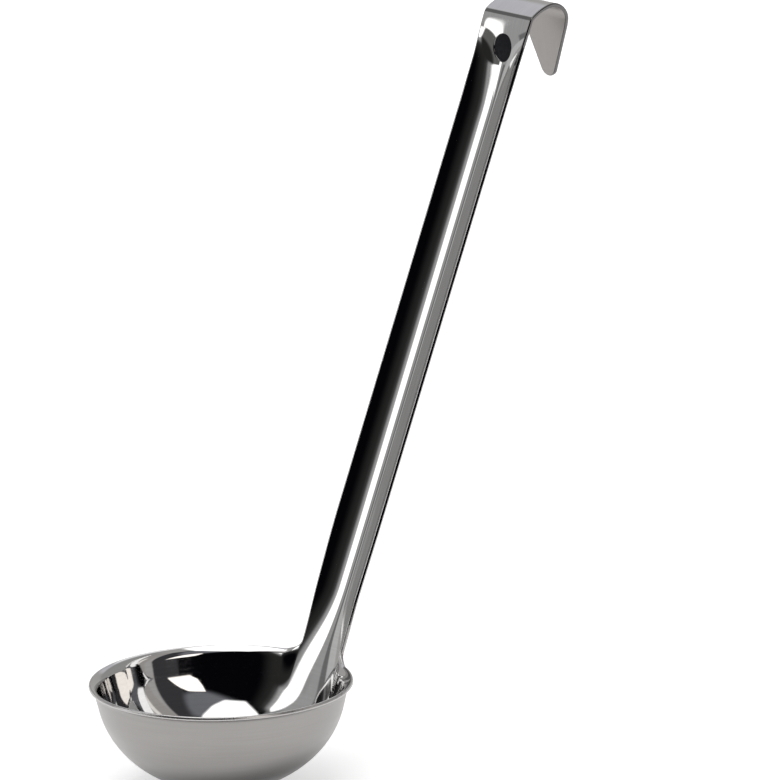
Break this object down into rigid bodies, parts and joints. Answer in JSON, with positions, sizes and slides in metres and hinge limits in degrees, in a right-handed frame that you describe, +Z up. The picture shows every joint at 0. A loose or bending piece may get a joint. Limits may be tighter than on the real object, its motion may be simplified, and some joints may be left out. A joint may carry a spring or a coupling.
{
  "type": "sauce ladle",
  "caption": "Small steel sauce ladle: a round bowl with a flared lip on a slim channelled handle that leans out and ends in a flat hanging hook.",
  "frame": {"origin": "centre of the flat under the bowl", "axes": "+Z up along the bowl's axis, with the rim level; +X towards the side on which the handle rises and leans out; the part is mirrored about the plane y = 0"},
  "size_m": [0.1754, 0.0802, 0.2236],
  "materials": {
    "polished_steel": "mirror polished inside and along the handle, satin brushed on the outside of the bowl and on the hook",
    "ground_weld": "weld ground flush and polished with the sheet",
    "plug_plastic": "black moulded plastic, smooth"
  },
  "bodies": {
    "root": {"bowl": "polished_steel", "weld_seam": "ground_weld", "handle": "polished_steel", "hanging_hole_plug": "plug_plastic"}
  },
  "joints": []
}
